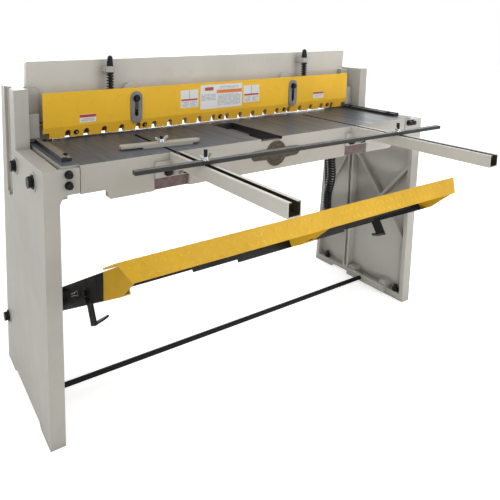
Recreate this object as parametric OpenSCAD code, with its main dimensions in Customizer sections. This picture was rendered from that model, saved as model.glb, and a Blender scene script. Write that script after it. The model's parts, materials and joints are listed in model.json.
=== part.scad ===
// Foot-operated sheet metal shear. Millimetres, +Z up, +X to the operator's right, operator at -Y.
// The row's origin is on the floor, under the middle of the whole machine.
// Inside at_machine(), Y = 0 is the front face of the side frames.

/* [Side frames] */
// Width over the two side frames
overall_w = 1600; // [1590:2:1620]
// Height of the front part of a side frame
frame_h = 805; // [800:1:808]
// Length of a side frame along the floor
frame_d = 488; // [482:1:500]
// Height of the rear posts
post_h = 990; // [975:1:1000]
// Front of a rear post
post_front = 278; // [272:1:282]
// Back of a rear post at its top
post_back = 440; // [432:1:450]
// Width of the casting flange round a side frame
flange_w = 45; // [44:1:45]
// Thickness of the casting walls
wall = 12; // [10:1:13]

/* [Table] */
// Height of the table top
table_h = 812; // [811:1:814]
// Half length of the table
bed_half = 746; // [744:1:746]
// Thickness of the table plate
bed_t = 25; // [22:1:28]
// Height of the apron's lower edge in the middle
apron_low = 702; // [698:1:706]
// Height of the apron's lower edge at the ends
apron_high = 731; // [728:1:734]
// Length of the T slots from the front edge
tee_len = 271; // [240:1:275]
// Distance of the T slots and support arms from the middle
arm_x = 396; // [390:1:400]

/* [Blades] */
// Plane in which the blades cut
cut_y = 350; // [350:0.1:350.2]
// Half length of the blades
blade_half = 665; // [640:1:670]
// Rise of the upper blade's edge over its length
rake = 32; // [26:1:34]

/* [Crosshead] */
// Half length of the crosshead
head_half = 738; // [736:1:739]
// Top of the crosshead
head_top = 1068; // [1060:1:1075]
// Thickness of the crosshead
head_t = 23; // [22:1:23]

/* [Hold-down] */
// Half length of the finger guard
guard_half = 703; // [700:1:704]
// Top edge of the finger guard
guard_top = 970; // [960:1:975]
// Spacing of the viewing notches
notch_pitch = 65.1; // [64:0.1:65.5]
// Width of a viewing notch
notch_w = 20; // [16:1:22]
// Distance of the hold-down studs from the middle
stud_x = 457; // [450:1:460]
// Distance of the slotted plates from the middle
oval_x = 370; // [365:1:375]

/* [Treadle] */
// Slope of the treadle arms at rest, in degrees
treadle_slope = 31; // [31:0.1:31.2]
// Length of the treadle arms from the pivot to the front edge
arm_len = 789; // [780:1:795]
// Middle of a side arm
side_arm_x = 635; // [634:1:636]
// Distance of the link pins from the treadle pivot
link_u = 105; // [103:1:106]
// Radius of the treadle pivot pins
pivot_r = 12; // [11:0.5:12]

/* [Gauges] */
// Front end of the support arms
arm_front = -490; // [-500:1:-480]
// Rear end of the back gauge rods
rod_back = 640; // [620:1:650]
// Rest position of the front gauge
front_gauge_y = -165; // [-170:1:-160]

/* [Hidden] */
$fn = 48;

half_w = overall_w / 2;
flange_x = half_w - flange_w;
web_x = half_w - wall;
origin_y = -(arm_front + rod_back) / 2;
fit = 0.05;
gap = 0.1;
eps = 1;

foot_lift = 14;
foot_len = 92;
rear_foot = frame_d - 100;
rib_front = 288;
rib_back = 322;
pocket_low = foot_lift + 16;

bed_face = 2;
ear_t = 14;
ear_x = 696;
blade_t = 13;
bed_back = cut_y - blade_t - fit;
bed_wall_low = 715;
apron_step = 616;
slot_x = [-63, 30];
slot_back = 276;
window_in = 345;
window_out = 467;
recess = 6;
panel_top = apron_low + 39;

head_y = cut_y + 15;
head_back = head_y + head_t;
blade_low = table_h + 3;
head_low = blade_low + 17;
tab_in = 655;
tab_low = 640;
lug_z = 1026;
lug_t = 20;
stud_y = 333;
slot_screw_z = 932;
slot_mid = 904;
slot_len = 72;
pad_z = 955;
rod_x = 420;
rod_z = 872;
rod_r = 9;

guard_y = 307;
guard_t = 4;
fold_z = 857;
guard_low = table_h + 6;
guard_tilt = 12;
bar_top = 871;
n_notch = 10;

pivot = [445, 176.4];
arm_w = 38;
arm_lo = -33;
arm_hi = 41;
beam_u = 627;
tip_u = 662;
plate_t = 5;
link_pin_r = 9;
hook_x = side_arm_x + arm_w / 2 - 10.1;
hook_y = -415;
hook_w = 42;
hook_low = -92;
hook_bolt_z = [-20, 2];
clip_u = 330;
link_x0 = 672;
link_x1 = 684;
head_pin = [376.5, 620];
arm_pin = [pivot[0] - link_u * cos(treadle_slope), pivot[1] + link_u * sin(treadle_slope)];
spring_x = 672;
spring_y = 327;
eye_v = 30;
eye_u = (pivot[0] + eye_v * sin(treadle_slope) - spring_y) / cos(treadle_slope);
eye_z = pivot[1] + eye_u * sin(treadle_slope) + eye_v * cos(treadle_slope);

tube_w = 40;
tube_h = 36;
gauge_skew = 10;
bevel_at = [-arm_x, 84];
bevel_turn = -6.5;
back_gauge_y = 500;

beige = "#beb9b0";
yellow = "#d6a92c";
black = "#1d1c1e";
steel = "#75767c";
dark = "#3f4144";
zinc = "#b9bcc0";
bronze = "#7a6248";
mauve = "#766562";

// ---------- helpers ----------

module at_machine() translate([0, origin_y, 0]) children();

module on_side(side) mirror([side < 0 ? 1 : 0, 0, 0]) children();

module both_sides() {
    on_side(1) children();
    on_side(-1) children();
}

module block(low, high) translate(low) cube(high - low);

// A Y-Z outline drawn out along X
module along_x(x0, x1) translate([x0, 0, 0]) rotate([90, 0, 90]) linear_extrude(x1 - x0) children();

// An X-Z outline drawn out along Y
module along_y(y0, y1) translate([0, y1, 0]) rotate([90, 0, 0]) linear_extrude(y1 - y0) children();

module bar_outline(p, q, w) {
    d = q - p;
    translate(p) rotate(atan2(d[1], d[0])) translate([0, -w / 2]) square([norm(d), w]);
}

module cyl_x(x0, x1, r, y, z) translate([x0, y, z]) rotate([0, 90, 0]) cylinder(r = r, h = x1 - x0);

module cyl_y(y0, y1, r, x, z) translate([x, y1, z]) rotate([90, 0, 0]) cylinder(r = r, h = y1 - y0);

module cyl_z(z0, z1, r, x, y) translate([x, y, z0]) cylinder(r = r, h = z1 - z0);

// Hexagon bolt along +Z: washer and head above 0, shank below 0
module hex_bolt(r, grip, head, washer = 3) {
    cylinder(r = r * 2.1, h = washer);
    translate([0, 0, washer]) cylinder(r = r * 1.75, h = head, $fn = 6);
    translate([0, 0, -grip]) cylinder(r = r, h = grip);
}

// Socket cap screw along +Z
module cap_screw(r, grip, head) {
    difference() {
        translate([0, 0, -grip]) union() {
            cylinder(r = r, h = grip + head);
            translate([0, 0, grip]) cylinder(r = r * 1.65, h = head);
        }
        translate([0, 0, head * 0.45]) cylinder(r = r * 0.95, h = head, $fn = 6);
    }
}

module facing_x() rotate([0, 90, 0]) children();

module facing_front() rotate([90, 0, 0]) children();

module facing_back() rotate([-90, 0, 0]) children();

// ---------- side frames ----------

function rear_y(z) = frame_d + (post_back - frame_d) * z / post_h;

module frame_outline() polygon([
    [0, 0], [foot_len, 0], [foot_len + foot_lift, foot_lift], [rear_foot - foot_lift, foot_lift],
    [rear_foot, 0], [frame_d, 0], [post_back, post_h], [post_front, post_h],
    [post_front, frame_h], [0, frame_h]
]);

module front_bay() polygon([
    [wall + 4, pocket_low], [rib_front, pocket_low], [rib_front, frame_h - wall],
    [wall + 4, frame_h - wall]
]);

module rear_bay() polygon([
    [rib_back, pocket_low], [rear_y(pocket_low) - wall - 4, pocket_low],
    [rear_y(630) - wall - 4, 630], [rib_back, 630]
]);

module cross_ribs(low, high) {
    bar_outline([0, high], [rib_back, low], 11);
    bar_outline([0, low + 40], [rib_back, high + 40], 11);
}

bolt_points = [[88, 759], [281, 757]];
bolt_r = 10;

// Bolts of the front ears, upright on the left side and level on the right
function ear_bolts(side) = side < 0 ? [[730, 792], [730, 762]] : [[714, 793], [738, 793]];

strap_points = [95, 258];
strap_x = 733;
strap_mid = 28;
rod_y = 202;
anchor_y = [43, 424];
anchor_x = 768;

module post_groove() {
    block([half_w - 9, 334, 645], [half_w + eps, 398, post_h + eps]);
    block([half_w - 16, 352, 636], [half_w + eps, 380, post_h + eps]);
}

module ear() {
    along_y(0, ear_t) difference() {
        union() {
            translate([ear_x + 2, apron_high + 4]) square([flange_x - ear_x, frame_h - apron_high - 4]);
            translate([flange_x - 30, apron_high - 26]) square([32, 32]);
        }
        translate([flange_x - 30, apron_high - 26]) circle(r = 30);
    }
}

module side_frame(side) color(beige) at_machine() on_side(side) difference() {
    union() {
        along_x(flange_x, web_x + 0.5) difference() {
            frame_outline();
            front_bay();
            rear_bay();
        }
        along_x(web_x, half_w) frame_outline();
        along_x(web_x - 24, web_x + 0.5) intersection() {
            cross_ribs(205, 620);
            front_bay();
        }
        along_x(web_x - 20, web_x + 0.5) intersection() {
            bar_outline([rib_back, 610], [frame_d, 300], 11);
            rear_bay();
        }
        ear();
        for (p = bolt_points) {
            cyl_x(bed_half + fit, web_x + 1, 25, p[0], p[1]);
            cyl_x(half_w - 1, half_w + 3, 28, p[0], p[1]);
        }
        along_x(strap_x + 12.1, web_x + 1) polygon([
            [78, foot_lift], [112, foot_lift], [112, 50], [104, 62], [86, 62], [78, 50]
        ]);
        block([strap_x + 12.1, 240, foot_lift], [web_x + 1, 276, 56]);
        cyl_x(664, web_x + 1, 25, pivot[0], pivot[1]);
        cyl_x(half_w - 1, half_w + 3, 24, pivot[0], pivot[1]);
    }
    block([flange_x - eps, 299, pocket_low + 10], [flange_x + 22, 311, 690]);
    post_groove();
    for (p = bolt_points) cyl_x(bed_half - 9, half_w + 9, bolt_r + gap, p[0], p[1]);
    for (y = strap_points) cyl_x(strap_x, strap_x + 48, 5.1, y, strap_mid);
    for (p = ear_bolts(side)) cyl_y(-eps, ear_t + eps, 5.6, p[0], p[1]);
    for (y = anchor_y) cyl_z(-eps, pocket_low + eps, 7.6, anchor_x, y);
    cyl_x(650, half_w + 9, pivot_r + fit, pivot[0], pivot[1]);
    for (z = guide_screw_z, y = [354.5, 398.5]) cyl_x(flange_x - eps, flange_x + 28, 4.2, y, z);
}

module side_frame_left() side_frame(-1);
module side_frame_right() side_frame(1);

// ---------- table ----------

module apron_outline(half) difference() {
    polygon([
        [-half, apron_high], [-apron_step - 8, apron_high], [-apron_step, apron_high - 8],
        [-apron_step, apron_low + 8], [-apron_step + 8, apron_low], [apron_step - 8, apron_low],
        [apron_step, apron_low + 8], [apron_step, apron_high - 8], [apron_step + 8, apron_high],
        [half, apron_high], [half, table_h], [-half, table_h]
    ]);
    for (s = [-1, 1]) translate([s < 0 ? -window_out : window_in, apron_low - eps]) square([122, 40]);
}

module tee_slot() {
    block([-5.5, -eps, table_h - 10.5], [5.5, tee_len, table_h + eps]);
    block([-9.5, -eps, table_h - 18], [9.5, tee_len + 4, table_h - 10]);
}

blade_screw_x = [for (i = [-4 : 4]) i * 150];
rib_x = [150, 310, 500, 610];

module bed() color(beige) at_machine() difference() {
    union() {
        along_y(bed_face, 18) apron_outline(ear_x - 0.5);
        along_y(ear_t + fit, 30) difference() {
            translate([-bed_half, apron_high]) square([2 * bed_half, table_h - apron_high]);
            translate([-ear_x + 8, 0]) square([2 * ear_x - 16, table_h + eps]);
        }
        block([-bed_half, ear_t + fit, table_h - bed_t], [bed_half, bed_back, table_h]);
        block([-ear_x + 0.5, bed_face, table_h - bed_t], [ear_x - 0.5, ear_t + 4, table_h]);
        block([-bed_half, bed_back - 25, bed_wall_low], [bed_half, bed_back, table_h - 10]);
        both_sides() block([bed_half - 17, ear_t + fit, 720], [bed_half, bed_back, table_h - 10]);
        both_sides() for (x = rib_x) block([x - 6, 10, 736], [x + 6, bed_back - 10, table_h - 10]);
    }
    block([slot_x[0], 20, table_h - bed_t - eps], [slot_x[1], slot_back, table_h + eps]);
    block([slot_x[0], -eps, table_h - 8], [slot_x[1], 21, table_h + eps]);
    for (s = [-1, 1]) translate([s * arm_x, 0, 0]) tee_slot();
    for (s = [-1, 1]) translate([s < 0 ? -window_out : window_in, 0, 0])
        block([0, bed_face - eps, panel_top], [122, bed_face + recess, 790]);
    for (s = [-1, 1], dx = [-30, 30])
        cyl_y(bed_face - eps, 24, 6.2, s * arm_x + dx, 757);
    both_sides() for (p = bolt_points) cyl_x(bed_half - 18, bed_half + eps, bolt_r + gap, p[0], p[1]);
    for (s = [-1, 1], p = ear_bolts(s)) cyl_y(ear_t - eps, 40, 5.6, s * p[0], p[1]);
    both_sides() for (y = side_screw_y) cyl_z(table_h - 16, table_h + eps, 4.1, 707, y);
    for (x = blade_screw_x) cyl_y(bed_back - 20, bed_back + eps, 5.1, x, 792);
}

module recess_plates() color(mauve) at_machine() both_sides()
    block([window_in + gap, 11, apron_low], [window_out - gap, 17.9, panel_top - gap]);

module lower_blade() color(steel) at_machine() difference() {
    block([-blade_half, bed_back + fit, 772], [blade_half, cut_y, table_h]);
    for (x = blade_screw_x) {
        cyl_y(bed_back - eps, cut_y + eps, 5.1, x, 792);
        cyl_y(cut_y - 8, cut_y + eps, 8.6, x, 792);
    }
}

module lower_blade_screws() color(black) at_machine()
    for (x = blade_screw_x) translate([x, cut_y - 8, 792]) facing_back() cap_screw(5, 24, 6);

badge_x = 4;

module badge_plate() color(bronze) at_machine() along_y(bed_face - 3, bed_face) union() {
    translate([badge_x, 757]) circle(r = 44);
    translate([badge_x - 90, 740]) square([180, 34]);
    for (s = [-1, 1]) translate([badge_x + s * 90, 757]) circle(r = 17);
}

side_screw_y = [90, 284];

module side_gauge(side) color(dark) at_machine() on_side(side) difference() {
    union() {
        block([700, 56, table_h], [729, 317, table_h + 10]);
        block([714, 56, table_h + 9], [729, 317, table_h + 13]);
    }
    for (y = side_screw_y) cyl_z(table_h - eps, table_h + 14, 4.2, 707, y);
}

module side_gauge_left() side_gauge(-1);
module side_gauge_right() side_gauge(1);

module side_gauge_screws() color(black) at_machine() both_sides()
    for (y = side_screw_y) translate([707, y, table_h + 10]) cap_screw(4, 24, 5);

module frame_bolts() color(black) at_machine() {
    both_sides() for (p = bolt_points)
        translate([half_w + 3, p[0], p[1]]) facing_x() hex_bolt(bolt_r, 68, 12);
    for (s = [-1, 1], p = ear_bolts(s))
        translate([s * p[0], 0, p[1]]) facing_front() hex_bolt(5.5, 36, 11, 4);
}

module levelling_screws() color(black) at_machine() both_sides() for (y = anchor_y) {
    cyl_z(0.5, 60, 7.5, anchor_x, y);
    translate([anchor_x, y, pocket_low]) cylinder(r = 13, h = 15, $fn = 6);
}

// ---------- lower tie ----------

module tie_strap(side) color(beige) at_machine() on_side(side) difference() {
    block([strap_x, 80, strap_mid - 16], [strap_x + 12, 278, strap_mid + 16]);
    for (y = strap_points) cyl_x(strap_x - eps, strap_x + 13, 5.1, y, strap_mid);
    cyl_x(strap_x - eps, strap_x + 13, 9.05, rod_y, strap_mid);
}

module tie_strap_left() tie_strap(-1);
module tie_strap_right() tie_strap(1);

module strap_bolts() color(beige) at_machine() both_sides()
    for (y = strap_points) translate([strap_x, y, strap_mid]) rotate([0, -90, 0]) {
        cylinder(r = 9, h = 2.5);
        translate([0, 0, -44]) cylinder(r = 5, h = 45);
    }

module tie_rod() color(black) at_machine() cyl_x(-strap_x - 20, strap_x + 20, 9, rod_y, strap_mid);

module tie_rod_nuts() color(black) at_machine() both_sides() difference() {
    translate([strap_x + 12.1, rod_y, strap_mid]) facing_x() cylinder(r = 15, h = 8, $fn = 6);
    cyl_x(strap_x + 12, strap_x + 22, 9.02, rod_y, strap_mid);
}

// ---------- crosshead guides ----------

guide_screw_z = [680, 780, 890, 960];

module blade_guides() color(beige) at_machine() both_sides() difference() {
    union() {
        block([706, head_y - 21, 655], [flange_x - fit, head_y - gap, 902]);
        block([706, head_y - 21, 904], [flange_x - fit, head_y - gap, 984]);
        block([706, head_back + gap, 655], [flange_x - fit, head_back + 21, 984]);
        difference() {
            block([712, 319, table_h + 14], [flange_x - fit, head_y - 21 + fit, 905]);
            block([711, 324.8, 852], [756, 341.2, 884]);
        }
    }
    for (z = guide_screw_z, y = [354.5, 398.5]) {
        cyl_x(705, 756, 4.2, y, z);
        cyl_x(705, 713, 7.2, y, z);
    }
}

module guide_screws() color(black) at_machine() both_sides()
    for (z = guide_screw_z, y = [354.5, 398.5]) translate([713, y, z]) rotate([0, -90, 0])
        cap_screw(4, 62, 6);

// ---------- crosshead and blade ----------

module head_outline() {
    drop = rake * tab_in / (2 * blade_half);
    mid = head_low + rake / 2;
    polygon([
        [-head_half, tab_low - 44], [-tab_in - 42, tab_low - 44], [-tab_in - 42, tab_low],
        [-tab_in, tab_low + 42], [-tab_in, mid - drop], [tab_in, mid + drop], [tab_in, tab_low + 42],
        [tab_in + 42, tab_low], [tab_in + 42, tab_low - 44], [head_half, tab_low - 44],
        [head_half, head_top - 3], [head_half - 3, head_top], [-head_half + 3, head_top],
        [-head_half, head_top - 3]
    ]);
}

module crosshead() color(beige) at_machine() difference() {
    union() {
        along_y(head_y, head_back) head_outline();
        for (s = [-1, 1]) cyl_y(guard_y + guard_t + gap, head_y + 1, 14, s * oval_x, slot_screw_z);
        both_sides() cyl_y(head_y - 17, head_y + 1, 28, oval_x, pad_z);
        block([-680, head_back - 1, 1022], [680, head_back + 34, 1040]);
        block([-640, head_back - 1, 906], [640, head_back + 26, 922]);
        for (i = [-3 : 3]) block([i * 200 - 7, head_back - 1, 910], [i * 200 + 7, head_back + 26, 1036]);
        both_sides() block([698, head_y - 3, tab_low - 44], [head_half - 26, head_y + 26, tab_low - 6]);
        both_sides() block([660, head_y - 3, tab_low - 40], [link_x0 - 0.2, head_y + 26, tab_low + 60]);
        both_sides() block([link_x1 + 0.2, head_y - 3, tab_low - 40], [700, head_y + 26, tab_low + 60]);
        both_sides() cyl_y(head_back - 1, head_back + 14, 17, rod_x, rod_z);
    }
    both_sides() block([link_x0 - 0.2, head_y - 9, tab_low - 60], [link_x1 + 0.2, head_y + 30, tab_low + 14]);
    both_sides() cyl_x(650, 712, link_pin_r + fit, head_pin[0], head_pin[1]);
    both_sides() cyl_y(guard_y, head_y + 8, 6.1, oval_x, slot_screw_z);
    both_sides() cyl_y(head_y - eps, head_back + 18, rod_r + 0.02, rod_x, rod_z);
    for (x = blade_screw_x) cyl_y(head_y - eps, head_back - 2, 5.1, x, upper_screw_z(x));
}

function edge_z(x) = blade_low + rake * (x + blade_half) / (2 * blade_half);
function upper_screw_z(x) = edge_z(x) + 34;

module upper_blade() color(steel) at_machine() difference() {
    along_y(cut_y + fit, head_y - fit) polygon([
        [-blade_half + 12, edge_z(-blade_half + 12)], [blade_half - 12, edge_z(blade_half - 12)],
        [blade_half - 12, edge_z(blade_half - 12) + 60], [-blade_half + 12, edge_z(-blade_half + 12) + 60]
    ]);
    for (x = blade_screw_x) {
        cyl_y(cut_y - eps, head_y + eps, 5.1, x, upper_screw_z(x));
        cyl_y(cut_y - eps, cut_y + 8, 8.6, x, upper_screw_z(x));
    }
}

module upper_blade_screws() color(black) at_machine()
    for (x = blade_screw_x) translate([x, cut_y + 8, upper_screw_z(x)]) facing_front() cap_screw(5, 24, 6);

module spring_lugs() color(beige) at_machine() both_sides() difference() {
    union() {
        block([stud_x - 19, stud_y, lug_z + 1], [stud_x + 19, head_y - fit, lug_z + lug_t - 2]);
        cyl_z(lug_z, lug_z + lug_t, 16.5, stud_x, stud_y);
    }
    cyl_z(lug_z - eps, lug_z + lug_t + eps, 6.3, stud_x, stud_y);
}

module slot_screws() color(black) at_machine() both_sides()
    translate([oval_x, guard_y - guard_t - gap, slot_screw_z]) facing_front() hex_bolt(6, 40, 8, 2);

module link_pins() color(steel) at_machine() both_sides() {
    cyl_x(656, 710, link_pin_r, head_pin[0], head_pin[1]);
    cyl_x(651, 656, 14, head_pin[0], head_pin[1]);
}

module link(side) color(black) at_machine() on_side(side) difference() {
    along_x(link_x0, link_x1) union() {
        translate(head_pin) circle(r = 20);
        translate(arm_pin) circle(r = 22);
        bar_outline(head_pin, arm_pin, 24);
    }
    cyl_x(link_x0 - eps, link_x1 + eps, link_pin_r + fit, head_pin[0], head_pin[1]);
    cyl_x(link_x0 - eps, link_x1 + eps, link_pin_r + 2.8, arm_pin[0], arm_pin[1]);
}

module link_left() link(-1);
module link_right() link(1);

module back_gauge_rods() color(zinc) at_machine() both_sides()
    cyl_y(head_y + 1, rod_back, rod_r, rod_x, rod_z);

// ---------- hold-down ----------

notch_x = [for (k = [0 : n_notch - 1], s = [-1, 1]) s * (notch_pitch / 2 + k * notch_pitch)];
guard_screw_x = [-590, -333, 0, 333, 590];
end_cut = 682;

module guard_profile() polygon([
    [guard_y, guard_top], [guard_y + guard_t, guard_top], [guard_y + guard_t, fold_z],
    [guard_y + guard_t + guard_tilt, guard_low], [guard_y + guard_tilt, guard_low], [guard_y, fold_z]
]);

module notch_cut(y0, y1) along_y(y0, y1) for (x = notch_x) translate([x, 0]) union() {
    translate([-notch_w / 2, guard_low - 5]) square([notch_w, 21]);
    translate([0, guard_low + 16]) circle(r = notch_w / 2);
}

module stadium(w, h) union() {
    square([w, h - w], center = true);
    for (s = [-1, 1]) translate([0, s * (h - w) / 2]) circle(r = w / 2);
}

module finger_guard() color(yellow) at_machine() difference() {
    along_x(-guard_half, guard_half) guard_profile();
    notch_cut(guard_y - 9, guard_y + 30);
    both_sides() block([end_cut, guard_y - 9, guard_low - 5], [guard_half + eps, guard_y + 30, guard_low + 20]);
    both_sides() along_y(guard_y - eps, guard_y + guard_t + eps)
        translate([oval_x, slot_mid]) stadium(18, slot_len);
    for (x = guard_screw_x) translate([x, guard_screw_y, 834]) rotate([90 + band_angle, 0, 0])
        translate([0, 0, -20]) cylinder(r = 4.1, h = 30);
}

band_angle = atan(guard_tilt / (fold_z - guard_low));
guard_screw_y = guard_y + (fold_z - 834) * guard_tilt / (fold_z - guard_low);

module hold_down_bar() color(yellow) at_machine() difference() {
    union() {
        along_x(-680, 680) polygon([
            [guard_y + 9, bar_top], [cut_y - 4, bar_top], [cut_y - 4, 850], [334, guard_low],
            [guard_y + guard_t + guard_tilt + 1.2, guard_low], [guard_y + guard_t + 4.5, 846],
            [guard_y + guard_t + 0.5, 858], [guard_y + guard_t + 0.5, bar_top]
        ]);
        both_sides() cyl_x(679, 740, 8, stud_y, 866);
    }
    notch_cut(guard_y, cut_y);
    both_sides() cyl_z(851, bar_top + eps, 6.02, stud_x, stud_y);
    for (x = guard_screw_x) translate([x, guard_screw_y, 834]) rotate([90 + band_angle, 0, 0])
        translate([0, 0, -16]) cylinder(r = 4.1, h = 20);
}

module slot_plates() color(steel) at_machine() both_sides() difference() {
    along_y(guard_y - guard_t, guard_y) translate([oval_x, 901]) stadium(45, 113);
    along_y(guard_y - guard_t - eps, guard_y + eps) translate([oval_x, slot_mid]) stadium(14, slot_len);
}

module guard_screws() color(black) at_machine() for (x = guard_screw_x)
    translate([x, guard_screw_y, 834]) rotate([90 + band_angle, 0, 0]) {
        translate([0, 0, fit]) cylinder(r = 9, h = 2);
        translate([0, 0, 2]) cylinder(r = 6, h = 3.5);
        translate([0, 0, -15]) cylinder(r = 4, h = 16);
    }

module hold_down_studs() color(steel) at_machine() both_sides()
    cyl_z(851.2, lug_z + lug_t + 14, 6, stud_x, stud_y);

module acorn_nuts() color(black) at_machine() both_sides() translate([stud_x, stud_y, lug_z + lug_t + gap])
    difference() {
        union() {
            cylinder(r = 12, h = 3);
            translate([0, 0, 3]) cylinder(r = 11.5, h = 14, $fn = 6);
            translate([0, 0, 17]) cylinder(r = 9.5, h = 10);
            translate([0, 0, 27]) sphere(r = 9.5);
        }
        translate([0, 0, -eps]) cylinder(r = 6.02, h = 16);
    }

module hold_down_springs() color(black) at_machine() both_sides() difference() {
    cyl_z(bar_top, lug_z, 15, stud_x, stud_y);
    cyl_z(bar_top - eps, lug_z + eps, 10, stud_x, stud_y);
}

// ---------- treadle ----------

// Local axes: X across, -Y forward along the arms, Z square to them
module on_treadle() at_machine() translate([0, pivot[0], pivot[1]]) rotate([-treadle_slope, 0, 0]) children();

module arm_side() polygon([
    [0, arm_lo], [-(arm_len - 104), arm_lo], [-arm_len, arm_lo + 26], [-arm_len, arm_hi], [0, arm_hi]
]);

module arm_hollow(u0) polygon([
    [-u0, arm_lo + 4], [-arm_len - 60, arm_lo + 4], [-arm_len - 60, arm_hi - 4], [-u0, arm_hi - 4]
]);

module treadle_arm(side) color(black) on_treadle() on_side(side) difference() {
    union() {
        along_x(side_arm_x - arm_w / 2, side_arm_x + arm_w / 2) arm_side();
        cyl_x(side_arm_x - arm_w / 2, side_arm_x + arm_w / 2, 37, 0, 4);
    }
    along_x(side_arm_x - arm_w / 2 + 4, side_arm_x + arm_w / 2 - 4) arm_hollow(200);
    block([side_arm_x - arm_w / 2 - eps, -arm_len - eps, arm_lo - eps], [
        side_arm_x + arm_w / 2 - 5, -tip_u, arm_hi + eps
    ]);
    cyl_x(600, 670, 16.02, 0, 0);
    cyl_x(600, 670, link_pin_r + 0.02, -link_u, 0);
    cyl_x(side_arm_x, 670, 6.02, -eye_u, eye_v);
    for (z = hook_bolt_z) cyl_x(side_arm_x, 670, 5.1, hook_y, z);
    block([hook_x - 0.3, hook_y - hook_w / 2 - 0.3, arm_lo - eps], [
        hook_x + 6.1, hook_y + hook_w / 2 + 0.3, arm_lo + 5
    ]);
    cyl_x(side_arm_x, 670, 5.1, -clip_u, 4);
}

module treadle_arm_left() treadle_arm(-1);
module treadle_arm_right() treadle_arm(1);

module treadle_arm_middle() color(yellow) on_treadle() difference() {
    along_x(-arm_w / 2, arm_w / 2) intersection() {
        arm_side();
        translate([-arm_len, arm_lo]) square([arm_len - beam_u - 0.1, 90]);
    }
    along_x(-arm_w / 2 + 4, arm_w / 2 - 4) arm_hollow(beam_u + 5);
}

module treadle_beam() color(black) on_treadle() {
    beam_half = side_arm_x - arm_w / 2 - 0.1;
    along_y(-beam_u, -beam_u + 6) polygon([
        [-beam_half, arm_lo + 17], [-396, arm_lo + 17], [-396, arm_lo + 9], [-234, arm_lo + 9],
        [-234, arm_lo], [234, arm_lo], [234, arm_lo + 9], [396, arm_lo + 9],
        [396, arm_lo + 17], [beam_half, arm_lo + 17], [beam_half, arm_hi], [-beam_half, arm_hi]
    ]);
    block([-beam_half, -beam_u + 5, arm_hi - 6], [beam_half, -beam_u + 50, arm_hi]);
    for (i = [-2 : 2]) block([i * 240 - 3, -beam_u + 5, arm_lo + 20], [i * 240 + 3, -beam_u + 44, arm_hi - 5]);
}

module tread_plate() color(yellow) on_treadle() {
    along_y(-arm_len - plate_t, -arm_len - 0.1) polygon([
        [-660, -9], [660, -9], [692, arm_hi + plate_t], [-692, arm_hi + plate_t]
    ]);
    translate([0, 0, arm_hi + 0.1]) linear_extrude(plate_t - 0.1) polygon([
        [-692, -arm_len - plate_t], [692, -arm_len - plate_t], [696, -arm_len + 78], [-696, -arm_len + 78]
    ]);
}

// Flat bars inside the hollow arms, bent inwards below them and tapered to a tip
module treadle_hooks() color(black) on_treadle() both_sides() {
    difference() {
        block([hook_x, hook_y - hook_w / 2, hook_low], [hook_x + 6, hook_y + hook_w / 2, 14]);
        for (z = hook_bolt_z) cyl_x(hook_x - eps, hook_x + 7, 5.1, hook_y, z);
    }
    translate([hook_x + 6, hook_y, hook_low]) rotate([0, 14, 0]) translate([0, 0, -1.5])
        linear_extrude(6) polygon([
            [0, -hook_w / 2], [0, hook_w / 2], [-32, hook_w / 2 - 4], [-54, 4], [-54, -4], [-32, 4 - hook_w / 2]
        ]);
}

module pivot_bushes() color(bronze) on_treadle() both_sides() difference() {
    cyl_x(side_arm_x - 22, side_arm_x + 24, 16, 0, 0);
    cyl_x(600, 670, pivot_r + fit, 0, 0);
}

module pivot_pins() color(black) at_machine() both_sides() {
    cyl_x(606, half_w + 4, pivot_r, pivot[0], pivot[1]);
    cyl_x(half_w + 3, half_w + 7, 20, pivot[0], pivot[1]);
    translate([half_w + 7, pivot[0], pivot[1]]) facing_x() cylinder(r = 17, h = 12, $fn = 6);
    cyl_x(602, 607, 18, pivot[0], pivot[1]);
}

// Link pins, hook bolts and a spring clip pin on each side arm
module treadle_pins() color(black) on_treadle() both_sides() {
    x1 = side_arm_x + arm_w / 2;
    cyl_x(x1 - arm_w - 4, 692, link_pin_r, -link_u, 0);
    cyl_x(x1 - arm_w - 9, x1 - arm_w - 4, 13, -link_u, 0);
    cyl_x(692, 697, 13, -link_u, 0);
    for (z = hook_bolt_z) translate([x1, hook_y, z]) facing_x() hex_bolt(5, 20, 6, 1.5);
    translate([x1, -clip_u, 4]) facing_x() hex_bolt(5, 14, 6, 1.5);
}

// Studs on the side arms that hold the lower ends of the return springs
module spring_eyes() color(black) on_treadle() both_sides() {
    cyl_x(side_arm_x + 4, spring_x + 12, 6, -eye_u, eye_v);
    cyl_x(spring_x + 12, spring_x + 16, 9, -eye_u, eye_v);
}

// ---------- return springs ----------

hanger_z = 652;
sleeve_low = 338;

module spring_hangers() color(black) at_machine() both_sides() {
    block([spring_x - 3, spring_y - 9, hanger_z - 14], [spring_x + 3, spring_y + 9, bed_wall_low - fit]);
    block([spring_x - 14, spring_y - 9, bed_wall_low - 6], [spring_x + 14, spring_y + 9, bed_wall_low - fit]);
    cyl_x(spring_x - 14, spring_x + 14, 5, spring_y, hanger_z - 8);
}

// Plain sleeves hold the space of the coils
module return_springs() color(black) at_machine() both_sides() difference() {
    cyl_z(sleeve_low, hanger_z - 24, 19, spring_x, spring_y);
    cyl_z(sleeve_low + 6, hanger_z - 30, 14, spring_x, spring_y);
}

// ---------- support arms and front gauge ----------

module arm_section() difference() {
    translate([-tube_w / 2, table_h - tube_h]) square([tube_w, tube_h]);
    translate([-tube_w / 2 + 3.5, table_h - tube_h + 3.5]) square([tube_w - 7, tube_h - 7]);
    translate([-8.5, table_h - 9]) square([17, 12]);
}

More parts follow.
